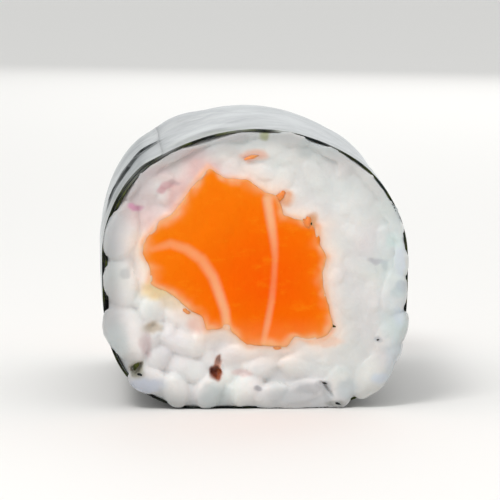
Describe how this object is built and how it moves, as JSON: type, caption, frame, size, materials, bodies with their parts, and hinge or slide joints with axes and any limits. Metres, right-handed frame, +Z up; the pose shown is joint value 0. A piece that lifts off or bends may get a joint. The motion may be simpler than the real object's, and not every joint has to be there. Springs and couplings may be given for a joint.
{
  "type": "salmon maki roll",
  "caption": "Piece of thin sushi roll lying on its side: a nori sheet rolled round sushi rice and a strip of raw salmon, with both cut ends open.",
  "frame": {"origin": "middle of the flattened underside, midway between the nori's two cut ends", "axes": "+Y along the roll, from the shown cut end at -Y to the far one; +Z up; +X to the right as seen from the shown end"},
  "size_m": [0.0298, 0.0324, 0.0266],
  "materials": {
    "nori": "moist, satin, slightly crinkled",
    "rice": "soft, slightly moist",
    "salmon": "moist, glossy"
  },
  "bodies": {
    "root": {"nori_sheet": "nori", "rice_bed": "rice", "salmon_strip": "salmon"}
  },
  "joints": []
}
